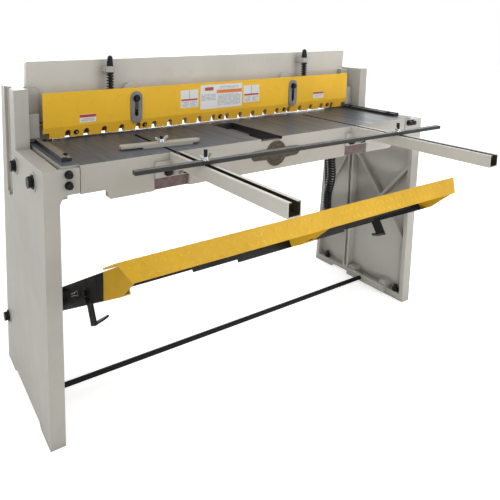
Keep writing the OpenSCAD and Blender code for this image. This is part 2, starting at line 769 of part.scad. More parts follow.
module support_arm(side) color(beige) at_machine() translate([side * arm_x, 0, 0]) difference() {
    union() {
        along_y(arm_front, bed_face - fit) arm_section();
        mirror([side < 0 ? 1 : 0, 0, 0]) block([window_in - arm_x + gap, -6, panel_top + gap], [
            window_out - arm_x - gap, bed_face + recess - fit, 790 - gap
        ]);
        for (x = [-15, 10]) along_x(x, x + 5) polygon([
            [-6, 744], [0, 744], [0, table_h - tube_h + eps], [-52, table_h - tube_h + eps], [-52, 772]
        ]);
    }
    for (dx = [-30, 30]) cyl_y(-10, bed_face + recess + eps, 6.2, dx, 757);
    block([-12, -6 - eps, 774.6], [12, bed_face - 4, table_h + eps]);
}

module support_arm_left() support_arm(-1);
module support_arm_right() support_arm(1);

module arm_bolts() color(black) at_machine() both_sides()
    for (dx = [-30, 30]) translate([arm_x + dx, -6, 757]) facing_front() hex_bolt(6, 30, 9);

function gauge_bolt_y(side) = front_gauge_y - side * gauge_skew;

module front_gauge_bar() color(dark) at_machine() difference() {
    translate([0, front_gauge_y, table_h]) rotate([0, 0, -atan(gauge_skew / arm_x)])
        translate([-611, -9, 0.2]) cube([1233, 18, 11.5]);
    for (s = [-1, 1]) cyl_z(table_h, table_h + 18, 5.6, s * arm_x, gauge_bolt_y(s));
}

module front_gauge_bolts() color(black) at_machine() for (s = [-1, 1])
    translate([s * arm_x, gauge_bolt_y(s), table_h]) {
        translate([0, 0, -10]) cylinder(r = 5, h = 52);
        block([-10, -10, -12], [10, 10, -3.6]);
    }

// Wing nut standing on z = 0 about a stud of radius 5
module wing_nut() difference() {
    union() {
        cylinder(r = 11, h = 2);
        translate([0, 0, 2]) cylinder(r1 = 9.5, r2 = 7.5, h = 8);
        for (s = [-1, 1]) rotate([90, 0, 0]) translate([0, 0, -1.6]) linear_extrude(3.2) union() {
            polygon([[s * 6, 3], [s * 9, 2.5], [s * 19, 7], [s * 25, 14], [s * 18, 17], [s * 6, 9]]);
            translate([s * 21.5, 14]) circle(r = 4.2);
        }
    }
    translate([0, 0, -eps]) cylinder(r = 5 + fit, h = 20);
}

module gauge_wing_nut(side) color(zinc) at_machine()
    translate([side * arm_x, gauge_bolt_y(side), table_h + 11.8]) rotate([0, 0, 20]) wing_nut();

module gauge_wing_nut_left() gauge_wing_nut(-1);
module gauge_wing_nut_right() gauge_wing_nut(1);

// ---------- bevel gauge ----------

module bevel_gauge() color(beige) at_machine() translate([bevel_at[0], bevel_at[1], table_h]) difference() {
    rotate([0, 0, bevel_turn]) union() {
        translate([0, 0, gap]) linear_extrude(5) polygon([[-67, -15], [102, -15], [102, 15], [-67, 15]]);
        translate([0, 0, 5]) linear_extrude(8) polygon([
            [-137, -15], [118, -15], [137, 4], [124, 15], [-130, 15], [-137, 8]
        ]);
    }
    translate([0, 0, -eps]) cylinder(r = 5.6, h = 20);
}

module bevel_gauge_bolt() color(black) at_machine() {
    cyl_z(table_h - 17, table_h + 32, 5, bevel_at[0], bevel_at[1]);
    block([bevel_at[0] - 9, bevel_at[1] - 9, table_h - 17.6], [bevel_at[0] + 9, bevel_at[1] + 9, table_h - 11]);
}

module bevel_wing_nut() color(zinc) at_machine()
    translate([bevel_at[0], bevel_at[1], table_h + 13.1]) rotate([0, 0, 10]) wing_nut();

// ---------- back gauge ----------

module back_gauge_bar() color(dark) at_machine() difference() {
    union() {
        block([-560, back_gauge_y - 6, 806], [560, back_gauge_y, 850]);
        block([-560, back_gauge_y - 6, 844], [560, back_gauge_y + 30, 850]);
    }
    both_sides() for (dx = [-10, 10]) cyl_z(843, 851, 3.2, rod_x + dx, back_gauge_y + 16);
}

module back_gauge_clamps() color(zinc) at_machine() both_sides() translate([rod_x, back_gauge_y + 4, 0]) {
    difference() {
        block([-18, 0, 850 + fit], [18, 24, rod_z + 18]);
        cyl_y(-eps, 25, rod_r + fit, 0, rod_z);
    }
    cyl_z(rod_z + 18, rod_z + 30, 4, 0, 12);
    cyl_z(rod_z + 29, rod_z + 37, 11, 0, 12);
    for (dx = [-10, 10]) {
        cyl_z(838, 851, 3, dx, 12);
        translate([dx, 12, 838]) cylinder(r = 5.5, h = 5.95, $fn = 6);
    }
}

side_frame_left();
side_frame_right();
bed();
lower_blade();
lower_blade_screws();
frame_bolts();
tie_rod();
tie_rod_nuts();
tie_strap_left();
tie_strap_right();
strap_bolts();
blade_guides();
guide_screws();
side_gauge_left();
side_gauge_right();
side_gauge_screws();
support_arm_left();
support_arm_right();
arm_bolts();
levelling_screws();
pivot_pins();
badge_plate();
recess_plates();
spring_hangers();
return_springs();
crosshead();
upper_blade();
upper_blade_screws();
spring_lugs();
slot_screws();
link_pins();
back_gauge_rods();
finger_guard();
hold_down_bar();
slot_plates();
guard_screws();
hold_down_studs();
acorn_nuts();
hold_down_springs();
treadle_arm_left();
treadle_arm_right();
treadle_arm_middle();
treadle_beam();
tread_plate();
treadle_hooks();
pivot_bushes();
treadle_pins();
spring_eyes();
link_left();
link_right();
front_gauge_bar();
front_gauge_bolts();
gauge_wing_nut_left();
gauge_wing_nut_right();
bevel_gauge();
bevel_gauge_bolt();
bevel_wing_nut();
back_gauge_bar();
back_gauge_clamps();
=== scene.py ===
import json
import math
import bpy
import bmesh
from mathutils import Euler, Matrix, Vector


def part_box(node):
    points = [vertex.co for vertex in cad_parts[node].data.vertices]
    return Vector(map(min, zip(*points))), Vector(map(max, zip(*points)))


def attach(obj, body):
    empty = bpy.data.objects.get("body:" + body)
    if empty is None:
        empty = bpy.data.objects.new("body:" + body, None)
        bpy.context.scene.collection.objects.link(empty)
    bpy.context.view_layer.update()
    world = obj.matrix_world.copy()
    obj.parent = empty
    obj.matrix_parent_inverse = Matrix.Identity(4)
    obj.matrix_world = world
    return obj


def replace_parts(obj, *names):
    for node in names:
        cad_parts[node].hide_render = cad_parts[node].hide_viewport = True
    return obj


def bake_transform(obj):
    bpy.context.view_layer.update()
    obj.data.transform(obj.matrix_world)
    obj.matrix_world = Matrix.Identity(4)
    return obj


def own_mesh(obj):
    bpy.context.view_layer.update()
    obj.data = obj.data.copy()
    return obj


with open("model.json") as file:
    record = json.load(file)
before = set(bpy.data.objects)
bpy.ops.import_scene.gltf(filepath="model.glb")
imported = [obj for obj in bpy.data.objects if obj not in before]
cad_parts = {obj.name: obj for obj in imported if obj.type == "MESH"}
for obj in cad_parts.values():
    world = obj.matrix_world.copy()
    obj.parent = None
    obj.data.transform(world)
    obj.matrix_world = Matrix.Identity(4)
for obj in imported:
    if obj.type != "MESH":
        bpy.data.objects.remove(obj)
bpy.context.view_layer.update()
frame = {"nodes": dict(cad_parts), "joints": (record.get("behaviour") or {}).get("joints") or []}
MM = 0.001
SCENE = bpy.context.scene
NODES = frame["nodes"]
JOINTS = {j["name"]: j for j in frame["joints"]}
ACROSS, UP, TO_FRONT = Vector((1, 0, 0)), Vector((0, 0, 1)), Vector((0, -1, 0))
SIDES = ((-1, "left"), (1, "right"))

# The treadle's arms rise from its pivot toward the operator.
SLOPE = math.radians(31)
PIVOT = Vector(JOINTS["treadle_pivot"]["pos_m"])
FORWARD = Vector((0, -math.cos(SLOPE), math.sin(SLOPE)))
NORMAL = Vector((0, math.sin(SLOPE), math.cos(SLOPE)))
ARM_LEN, ARM_TOP = 789 * MM, 41 * MM
ARM_OUTER_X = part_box("treadle_arm_right")[1].x

# Table, with its T slots, its cut-out and the bay that shows through the cut-out.
TABLE_FRONT, TABLE_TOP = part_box("bed")[0].y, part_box("bed")[1].z
TEE_X = 396 * MM
CUTOUT_MID, CUTOUT_HALF, CUTOUT_BACK = -16.5 * MM, 46.5 * MM, 201 * MM
BAY_HALF, BAY_BACK = 150 * MM, 234 * MM

# Support arms of square tube, level with the table's top.
TUBE_HALF, TUBE_H, TUBE_WALL = 20 * MM, 36 * MM, 3 * MM

# Guard, folded at FOLD_Z, and its two slotted oval plates.
FOLD_Z = 857 * MM
GUARD_LEAN = math.atan2(12, 39)
OVAL_X, OVAL_HALF = 370 * MM, 22 * MM

BLACK = (0.0065, 0.0065, 0.0075)
# Painted shade for the walls of the table's slots and bay.
SLOT_SHADE_BLACK = (0.012, 0.012, 0.013)
BEIGE = (0.47, 0.448, 0.402)
YELLOW = (0.66, 0.385, 0.020)


# ---------- materials ----------

class Nodes:
    """A node tree with small helpers for building it. A mask is 1 inside its region and 0 outside."""

    def __init__(self, tree):
        self.tree = tree

    def node(self, kind, **props):
        made = self.tree.nodes.new(kind)
        for key, value in props.items():
            setattr(made, key, value)
        return made

    def link(self, a, b):
        self.tree.links.new(a, b)

    def feed(self, socket, value):
        if hasattr(value, "is_output"):
            self.link(value, socket)
        else:
            socket.default_value = value

    def math(self, operation, *values):
        made = self.node("ShaderNodeMath", operation=operation)
        for socket, value in zip(made.inputs, values):
            self.feed(socket, value)
        return made.outputs[0]

    def part(self, vector, index):
        made = self.node("ShaderNodeSeparateXYZ")
        self.link(vector, made.inputs[0])
        return made.outputs[index]

    def step(self, value, low, high, out_low=0.0, out_high=1.0):
        """Goes from out_low to out_high while value goes from low to high, and holds beyond them."""
        made = self.node("ShaderNodeMapRange")
        for socket, item in zip(made.inputs, (value, low, high, out_low, out_high)):
            self.feed(socket, item)
        return made.outputs["Result"]

    def above(self, value, limit):
        return self.math("GREATER_THAN", value, limit)

    def below(self, value, limit):
        return self.math("LESS_THAN", value, limit)

    def apart(self, value, centre):
        """How far value is from centre."""
        return self.math("ABSOLUTE", self.math("SUBTRACT", value, centre))

    def all_of(self, first, *masks):
        for mask in masks:
            first = self.math("MULTIPLY", first, mask)
        return first

    def invert(self, mask):
        return self.math("SUBTRACT", 1.0, mask)


class Shader(Nodes):
    """A material around one Principled BSDF."""

    def __init__(self, name, color, rough=0.5, metal=0.0):
        self.mat = bpy.data.materials.new(name)
        self.mat.use_nodes = True
        super().__init__(self.mat.node_tree)
        self.bsdf = self.tree.nodes["Principled BSDF"]
        self.color((*color, 1))
        self.rough(rough)
        self.metal(metal)
        self.place = self.node("ShaderNodeTexCoord").outputs["Object"]

    def color(self, value):
        self.feed(self.bsdf.inputs["Base Color"], value)

    def rough(self, value):
        self.feed(self.bsdf.inputs["Roughness"], value)

    def metal(self, value):
        self.feed(self.bsdf.inputs["Metallic"], value)

    def specular(self, value):
        self.feed(self.bsdf.inputs["Specular IOR Level"], value)

    def axis(self, index):
        return self.part(self.place, index)

    def normal_axis(self, index):
        return self.part(self.node("ShaderNodeNewGeometry").outputs["Normal"], index)

    def noise(self, scale, detail=3.0, stretch=(1, 1, 1), distort=0.0):
        mapping = self.node("ShaderNodeMapping")
        mapping.inputs["Scale"].default_value = stretch
        self.link(self.place, mapping.inputs["Vector"])
        made = self.node("ShaderNodeTexNoise")
        made.inputs["Scale"].default_value = scale
        made.inputs["Detail"].default_value = detail
        made.inputs["Distortion"].default_value = distort
        self.link(mapping.outputs[0], made.inputs["Vector"])
        return made.outputs["Fac"]

    def mix(self, factor, a, b):
        """Colour a where factor is 0, and b where it is 1."""
        made = self.node("ShaderNodeMix", data_type="RGBA")
        self.feed(made.inputs[0], factor)
        for socket, value in ((made.inputs[6], a), (made.inputs[7], b)):
            self.feed(socket, value if hasattr(value, "is_output") else (*value, 1))
        return made.outputs[2]

    def edges(self, radius):
        """1 on convex and concave edges within radius, 0 on flat faces."""
        rounded = self.node("ShaderNodeBevel", samples=4)
        rounded.inputs["Radius"].default_value = radius
        facing = self.node("ShaderNodeVectorMath", operation="DOT_PRODUCT")
        self.link(rounded.outputs[0], facing.inputs[0])
        self.link(self.node("ShaderNodeNewGeometry").outputs["Normal"], facing.inputs[1])
        return self.step(facing.outputs["Value"], 0.985, 0.90)

    def corner_shade(self, distance):
        """1 deep in corners, 0 on open faces; a mask for painted shade."""
        made = self.node("ShaderNodeAmbientOcclusion", samples=4)
        made.inputs["Distance"].default_value = distance
        return self.step(made.outputs["AO"], 0.92, 0.35)

    def bump(self, height, strength, distance):
        made = self.node("ShaderNodeBump")
        made.inputs["Strength"].default_value = strength
        made.inputs["Distance"].default_value = distance
        self.link(height, made.inputs["Height"])
        self.link(made.outputs[0], self.bsdf.inputs["Normal"])


def shade(color, factor):
    return tuple(min(1.0, c * factor) for c in color)


def paint_layers(s, color, grime, wear, wear_amount=0.35, scuffs=0.25):
    """Uneven paint with grime in broad patches, small chips and worn edges."""
    tone = s.mix(s.step(s.noise(3.5, 4), 0.35, 0.68), shade(color, 0.93), shade(color, 1.05))
    tone = s.mix(s.step(s.noise(30, 5, distort=0.6), 0.56, 0.74, 0, scuffs), tone, grime)
    tone = s.mix(s.step(s.noise(420, 2), 0.70, 0.78, 0, 0.35), tone, grime)
    chips = s.all_of(s.edges(1.6 * MM), s.step(s.noise(70, 4), 0.42, 0.62), wear_amount)
    return s.mix(chips, tone, wear)


def cast_paint(name, color, extra=None, roughness=(0.34, 0.50), patches=(14, 4)):
    """Painted casting, with painted shade in its corners. extra(shader, tone) adds what one part has of its
    own.
    """
    s = Shader(name, color)
    tone = paint_layers(s, color, (0.36, 0.33, 0.28), (0.80, 0.78, 0.73), 0.5, 0.16)
    # Painted shade: the colour darkens deep in corners, where shade falls.
    tone = s.mix(s.all_of(s.corner_shade(30 * MM), 0.32), tone, (0.13, 0.12, 0.10))
    if extra:
        tone = extra(s, tone)
    s.color(tone)
    s.rough(s.step(s.noise(*patches), 0.3, 0.7, *roughness))
    waves = s.math("MULTIPLY", s.noise(36, 3), 1.6)
    s.bump(s.math("ADD", s.noise(160, 4), waves), 0.35, 0.6 * MM)
    return s.mat


def table_top(s, tone):
    """The top is bare ground steel. The walls of the slots and of the bay are painted black as shade."""
    x, y, z = s.axis(0), s.axis(1), s.axis(2)
    side = s.apart(x, 0.0)
    top = s.all_of(s.step(z, TABLE_TOP - 1.2 * MM, TABLE_TOP - 0.6 * MM), s.step(s.normal_axis(2), 0.6, 0.8))
    clouds = s.step(s.noise(1.0, 5, (5, 1.2, 1)), 0.3, 0.72)
    steel = s.mix(clouds, (0.045, 0.053, 0.068), (0.085, 0.096, 0.118))
    # Grinding streaks, a real grain painted lighter as a reflection.
    grinding_sheen = s.step(s.noise(1.0, 3, (260, 3, 1)), 0.35, 0.7, 0, 0.35)
    steel = s.mix(grinding_sheen, steel, (0.27, 0.275, 0.29))
    # Painted shade: the steel darkens towards the right end of the table.
    steel = s.mix(s.step(x, -0.1, 0.65, 0, 0.5), steel, (0.050, 0.056, 0.066))

    tee = s.below(s.apart(side, TEE_X), 10.5 * MM)
    cutout = s.below(s.apart(x, CUTOUT_MID), CUTOUT_HALF + 1.5 * MM)
    front = s.all_of(s.step(s.normal_axis(1), -0.6, -0.8), s.below(y, TABLE_FRONT + 3 * MM))
    walls = s.all_of(s.math("MAXIMUM", tee, cutout), s.above(z, TABLE_TOP - 30 * MM),
                     s.below(y, CUTOUT_BACK + 4 * MM), s.invert(top), s.invert(front))
    bay = s.all_of(s.step(side, BAY_HALF + 8 * MM, BAY_HALF), s.below(z, TABLE_TOP - 22 * MM),
                   s.above(y, TABLE_FRONT + 15.5 * MM), s.below(y, BAY_BACK))
    # Painted shade: the slot walls and the bay are coloured near black.
    tone = s.mix(bay, s.mix(walls, tone, SLOT_SHADE_BLACK), SLOT_SHADE_BLACK)

    s.metal(s.all_of(top, 0.28))
    s.feed(s.bsdf.inputs["Anisotropic"], s.all_of(top, 0.8))
    tangent = s.node("ShaderNodeCombineXYZ")
    tangent.inputs[1].default_value = 1
    s.link(tangent.outputs[0], s.bsdf.inputs["Tangent"])
    return s.mix(top, tone, steel)


def arm_channel(s, tone):
    """The inside of the support arms is dark and mottled brown."""
    z = s.axis(2)
    dx = s.apart(s.apart(s.axis(0), 0.0), TEE_X)
    inside = s.all_of(s.below(dx, TUBE_HALF - TUBE_WALL), s.below(z, TABLE_TOP - 0.3 * MM),
                      s.above(z, TABLE_TOP - TUBE_H + TUBE_WALL + 0.1 * MM))
    dark_mottle = s.mix(s.step(s.noise(40, 4), 0.35, 0.65), (0.022, 0.018, 0.010), (0.045, 0.036, 0.018))
    return s.mix(inside, tone, dark_mottle)


def head_shadow(s, tone):
    """Painted shadow on the crosshead behind the two slotted plates."""
    z = s.axis(2)
    dx = s.apart(s.apart(s.axis(0), 0.0), OVAL_X)
    low, top, fade = 850 * MM, 958 * MM, 4 * MM
    shadow_patch = s.all_of(s.step(dx, OVAL_HALF + fade, OVAL_HALF), s.step(z, top + fade, top),
                     s.step(z, low - 10 * MM, low))
    # Painted shadow: near black on the crosshead behind each slot.
    return s.mix(shadow_patch, tone, (0.012, 0.012, 0.012))


def arm_paint(name):
    """Black arms whose tips are sprayed yellow with a soft edge, but for the right arm's inner wall."""
    s = Shader(name, BLACK)
    s.specular(0.15)
    x, spray_y, fade = s.axis(0), -122 * MM, 3 * MM
    ragged = s.math("ADD", s.axis(1), s.math("MULTIPLY_ADD", s.noise(60, 3), 4 * MM, -2 * MM))
    sprayed = s.math("MAXIMUM", s.below(x, 0.0), s.above(x, ARM_OUTER_X - 9 * MM))
    tip = s.all_of(s.step(ragged, spray_y + fade, spray_y - fade), sprayed)
    black = paint_layers(s, BLACK, (0.035, 0.033, 0.03), (0.16, 0.155, 0.15), 0.3)
    yellow = paint_layers(s, shade(YELLOW, 0.86), (0.30, 0.19, 0.05), (0.45, 0.42, 0.36), 0.5)
    s.color(s.mix(tip, black, yellow))
    s.rough(s.step(s.noise(20, 4), 0.3, 0.7, 0.30, 0.46))
    s.bump(s.noise(220, 3), 0.18, 0.4 * MM)
    return s.mat


def plate_slot_shade(s, tone):
    """The walls of the guard's own two slots, behind those of the oval plates, are painted black as shade.
    """
    dx = s.apart(s.apart(s.axis(0), 0.0), OVAL_X)
    wall = s.above(s.normal_axis(1), -0.5)
    return s.mix(s.all_of(s.below(dx, 9.8 * MM), s.above(s.axis(2), 864 * MM), wall), tone, BLACK)


def sheet_paint(name, color, fold=None, shade_above=None, worn=0.4, shine=0.5):
    """Smooth sheet metal paint. Below the fold it is a little paler, as painted light, and above the height
    given it is black, as painted shade.
    """
    s = Shader(name, color)
    s.specular(shine)
    tone = paint_layers(s, color, shade(color, 0.62), (0.55, 0.47, 0.30), worn, 0.22)
    if fold is not None:
        # Painted light: below the fold the leaning band is paler, making up for its shade.
        band_light = s.step(s.axis(2), fold + 1 * MM, fold - 1 * MM, 0, 0.55)
        tone = s.mix(band_light, tone, (color[0] * 1.10, color[1] * 1.06, color[2] * 2.0))
    streaks = s.step(s.noise(1.0, 4, (18, 18, 2.5)), 0.52, 0.75, 0, 0.22)
    tone = s.mix(streaks, tone, shade(color, 0.78))
    if fold is not None:
        # Painted shade in the guard's slots.
        tone = plate_slot_shade(s, tone)
    # Painted shade: black above the given height.
    if shade_above is not None:
        tone = s.mix(s.above(s.axis(2), shade_above), tone, BLACK)
    s.color(tone)
    s.rough(s.step(s.noise(24, 4), 0.3, 0.7, 0.28, 0.42))
    s.bump(s.noise(420, 2), 0.10, 0.3 * MM)
    return s.mat


def bare_metal(name, color, rough=(0.25, 0.45), grain=(1, 1, 1), metal=0.9, spots=0.3, sides=1.0):
    """Worn metal. sides is the share of the colour left on faces that don't look up, which are darkened as
    painted shade.
    """
    s = Shader(name, color, metal=metal)
    tone = s.mix(s.step(s.noise(22, 4), 0.35, 0.7), shade(color, 0.78), shade(color, 1.15))
    tone = s.mix(s.step(s.noise(150, 3), 0.60, 0.75, 0, spots), tone, shade(color, 0.45))
    tone = s.mix(s.all_of(s.edges(0.8 * MM), 0.5), tone, shade(color, 1.9))
    # Painted shade: faces that don't look up are darkened toward black.
    if sides < 1:
        upward = s.step(s.normal_axis(2), 0.6, 0.8)
        tone = s.mix(upward, s.mix(1 - sides, tone, (0.010, 0.010, 0.011)), tone)
    s.color(tone)
    s.rough(s.step(s.noise(80, 3), 0.3, 0.7, *rough))
    s.bump(s.noise(700, 2, grain), 0.22, 0.2 * MM)
    return s.mat


def cast_plate(name, color, wear):
    """A rough cast plate, brighter along its edges."""
    s = Shader(name, color, metal=0.35)
    tone = s.mix(s.step(s.noise(60, 5), 0.35, 0.65), shade(color, 0.8), shade(color, 1.2))
    s.color(s.mix(s.all_of(s.edges(1.2 * MM), 0.7), tone, wear))
    s.rough(s.step(s.noise(90, 3), 0.3, 0.7, 0.35, 0.6))
    s.bump(s.noise(260, 4), 0.4, 0.5 * MM)
    return s.mat


casting = cast_paint("cast_beige", BEIGE)
casting_table = cast_paint("cast_beige_table", BEIGE, table_top, (0.34, 0.46), (1.0, 3, (30, 4, 4)))
tube_beige = cast_paint("tube_beige", shade(BEIGE, 1.03), arm_channel, (0.3, 0.42))
# Painted light: the crosshead's beige is brightened to stand in for more light.
head_beige_lit = cast_paint("head_beige_lit", shade(BEIGE, 1.32), head_shadow)
# Painted light: the guard's yellow is brightened to stand in for more light.
guard_yellow_lit = sheet_paint("guard_yellow_lit", shade(YELLOW, 1.40), fold=FOLD_Z, shine=0.3)
# Painted shade: the bar's top is black.
bar_yellow = sheet_paint("bar_yellow", (0.46, 0.215, 0.022), shade_above=869.5 * MM)
tread_yellow = sheet_paint("tread_yellow", shade(YELLOW, 0.99), shine=0.2)
# Painted highlight: the tread's pads are a lighter copy of the yellow.
pad_yellow_lit = sheet_paint("pad_yellow_lit", shade(YELLOW, 1.10), worn=0.0)
arm_black_yellow = arm_paint("arm_black_yellow")
satin_black = sheet_paint("satin_black", BLACK, worn=0.12, shine=0.2)
ground_steel = bare_metal("ground_steel", (0.33, 0.335, 0.35), (0.28, 0.42), (8, 1, 1))
plate_steel = bare_metal("plate_steel", (0.25, 0.25, 0.262), (0.38, 0.55), (1, 1, 6), 0.6)
dark_steel = bare_metal("dark_steel", (0.030, 0.030, 0.030), (0.38, 0.55), (6, 1, 1), 0.2)
gauge_steel = bare_metal("gauge_steel", (0.24, 0.24, 0.245), (0.35, 0.5), (1, 8, 1), 0.4, sides=0.12)
black_oxide = bare_metal("black_oxide", (0.010, 0.010, 0.012), (0.3, 0.45), metal=0.5, spots=0.2)
zinc = bare_metal("zinc", (0.56, 0.57, 0.59), (0.18, 0.32), spots=0.18)
spring_black = bare_metal("spring_black", (0.006, 0.006, 0.007), (0.28, 0.42), metal=0.2, spots=0.1)
bronze = cast_plate("bronze", (0.088, 0.070, 0.050), (0.42, 0.34, 0.22))
# Painted shade: the panels in the apron's recesses are brown, as the shade there.
brown_panel = cast_plate("brown_panel", (0.185, 0.135, 0.13), (0.33, 0.28, 0.26))

LOOKS = [
    (casting, "side_frame_left side_frame_right tie_strap_left tie_strap_right strap_bolts blade_guides "
              "spring_lugs"),
    (head_beige_lit, "crosshead"),
    (casting_table, "bed"),
    (tube_beige, "support_arm_left support_arm_right bevel_gauge"),
    (ground_steel, "lower_blade upper_blade link_pins"),
    (black_oxide, "lower_blade_screws frame_bolts tie_rod_nuts guide_screws side_gauge_screws arm_bolts "
                  "levelling_screws pivot_pins upper_blade_screws slot_screws guard_screws acorn_nuts "
                  "front_gauge_bolts bevel_gauge_bolt hold_down_studs treadle_pins"),
    (satin_black, "tie_rod spring_hangers treadle_beam treadle_hooks spring_eyes link_left link_right"),
    (spring_black, "return_springs hold_down_springs"),
    (gauge_steel, "side_gauge_left side_gauge_right"),
    (plate_steel, "slot_plates"),
    (bronze, "badge_plate pivot_bushes"),
    (brown_panel, "recess_plates"),
    (zinc, "back_gauge_rods gauge_wing_nut_left gauge_wing_nut_right bevel_wing_nut "
           "back_gauge_clamps"),
    (guard_yellow_lit, "finger_guard"),
    (bar_yellow, "hold_down_bar"),
    (arm_black_yellow, "treadle_arm_left treadle_arm_right"),
    (tread_yellow, "treadle_arm_middle tread_plate"),
    (dark_steel, "front_gauge_bar back_gauge_bar"),
]


def paint(obj, mat):
    if not obj.material_slots:
        obj.data.materials.append(mat)
    for slot in obj.material_slots:
        slot.material = mat


for mat, names in LOOKS:
    for name in names.split():
        paint(NODES[name], mat)


# ---------- rounded edges on the carried-over nodes ----------

# Widths in mm.
ROUNDING = [
    (2.2, "side_frame_left side_frame_right bed crosshead"),
    (1.5, "tie_strap_left tie_strap_right blade_guides spring_lugs"),
    (1.2, "support_arm_left support_arm_right treadle_arm_left treadle_arm_right treadle_arm_middle"),
    (1.0, "front_gauge_bar treadle_beam tread_plate treadle_hooks side_gauge_left side_gauge_right "
          "back_gauge_bar back_gauge_clamps link_left link_right"),
    (0.8, "slot_plates bevel_gauge badge_plate recess_plates hold_down_bar spring_hangers"),
    (0.6, "frame_bolts tie_rod_nuts arm_bolts levelling_screws pivot_pins slot_screws guard_screws "
          "acorn_nuts strap_bolts treadle_pins gauge_wing_nut_left gauge_wing_nut_right bevel_wing_nut "
          "side_gauge_screws front_gauge_bolts bevel_gauge_bolt link_pins"),
    (0.5, "finger_guard lower_blade upper_blade guide_screws hold_down_studs tie_rod spring_eyes "
          "upper_blade_screws lower_blade_screws back_gauge_rods pivot_bushes"),
]


def round_edges(obj, width):
    weld = obj.modifiers.new("weld", "WELD")
    weld.merge_threshold = 0.01 * MM
    flat = obj.modifiers.new("flat", "DECIMATE")
    flat.decimate_type = "DISSOLVE"
    flat.angle_limit = math.radians(0.6)
    bevel = obj.modifiers.new("bevel", "BEVEL")
    bevel.width = width
    bevel.segments = 2
    bevel.limit_method = "ANGLE"
    bevel.angle_limit = math.radians(32)
    bevel.miter_outer = "MITER_ARC"
    bevel.use_clamp_overlap = True
    smooth = obj.modifiers.new("normals", "WEIGHTED_NORMAL")
    smooth.keep_sharp = True


for width, names in ROUNDING:
    for name in names.split():
        round_edges(NODES[name], width * MM)


# ---------- mesh building ----------

def finished_mesh(name, bm, face_out=False):
    """The mesh of a filled bmesh, which is then freed."""
    if face_out:
        bmesh.ops.recalc_face_normals(bm, faces=bm.faces)
    mesh = bpy.data.meshes.new(name)
    bm.to_mesh(mesh)
    bm.free()
    return mesh


def new_piece(name, mesh, mat, body=None):
    obj = bpy.data.objects.new(name, mesh)
    SCENE.collection.objects.link(obj)
    mesh.materials.append(mat)
    if body:
        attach(obj, body)
    return obj


def circle(across, up, radius, count):
    """Offsets to count places round a circle that lies in the plane of across and up."""
    angles = [2 * math.pi * k / count for k in range(count)]
    return [(across * math.cos(a) + up * math.sin(a)) * radius for a in angles]


def join_rings(bm, near, far):
    """A smooth band of faces between two rings of the same length."""
    for k in range(len(near)):
        n = (k + 1) % len(near)
        bm.faces.new((near[k], near[n], far[n], far[k])).smooth = True


def tube_mesh(name, points, radius, sides):
    """A round wire along a line of points, closed at both ends."""
    bm = bmesh.new()
    rings = []
    side = (points[1] - points[0]).normalized().orthogonal().normalized()
    for i, point in enumerate(points):
        ahead = points[min(i + 1, len(points) - 1)] - points[max(i - 1, 0)]
        tangent = ahead.normalized()
        side = (side - tangent * side.dot(tangent)).normalized()
        rings.append([bm.verts.new(point + offset)
                      for offset in circle(side, tangent.cross(side), radius, sides)])
    for near, far in zip(rings, rings[1:]):
        join_rings(bm, near, far)
    bm.faces.new(list(reversed(rings[0])))
    bm.faces.new(rings[-1])
    return finished_mesh(name, bm)


def merge_meshes(name, meshes):
    bm = bmesh.new()
    for mesh in meshes:
        bm.from_mesh(mesh)
    return finished_mesh(name, bm)


def dome(bm, middle, across, up, facing, radius, height):
    """A low dome, closed underneath, standing on middle."""
    sides, levels, sunk = 16, 4, 0.1 * MM
    rows = []
    for level in range(levels):
        a = math.pi / 2 * level / levels
        centre = middle + facing * (height * math.sin(a) - sunk)
        rows.append([bm.verts.new(centre + offset)
                     for offset in circle(across, up, radius * math.cos(a), sides)])
    tip = bm.verts.new(middle + facing * (height - sunk))
    for near, far in zip(rows, rows[1:]):
        join_rings(bm, near, far)
    for k in range(sides):
        bm.faces.new((rows[-1][k], rows[-1][(k + 1) % sides], tip)).smooth = True
    bm.faces.new(rows[0])


def helix(centre, radius, z0, z1, turns, per_turn, lean=None):
    """Points of a coil about +Z. lean(t) shifts its axis sideways, with t from 0 at z0 to 1 at z1."""
    points = []
    count = int(turns * per_turn)
    for i in range(count + 1):
        t = i / count
        a = 2 * math.pi * turns * t
        shift = lean(t) if lean else Vector((0, 0, 0))
        points.append(Vector((centre[0], centre[1], z0 + (z1 - z0) * t)) + shift
                      + Vector((math.cos(a) * radius, math.sin(a) * radius, 0)))
    return points


def curve_through(points, steps=6):
    """A smooth line through a few points."""
    out = []
    for i in range(len(points) - 1):
        p0 = points[max(i - 1, 0)]
        p1, p2 = points[i], points[i + 1]
        p3 = points[min(i + 2, len(points) - 1)]
        for k in range(steps):
            t = k / steps
            out.append(0.5 * ((2 * p1) + (p2 - p0) * t + (2 * p0 - 5 * p1 + 4 * p2 - p3) * t * t
                              + (3 * p1 - p0 - 3 * p2 + p3) * t ** 3))
    out.append(points[-1])
    return out


# ---------- springs ----------

def ease(t):
    t = max(0.0, min(1.0, t))
    return t * t * (3 - 2 * t)


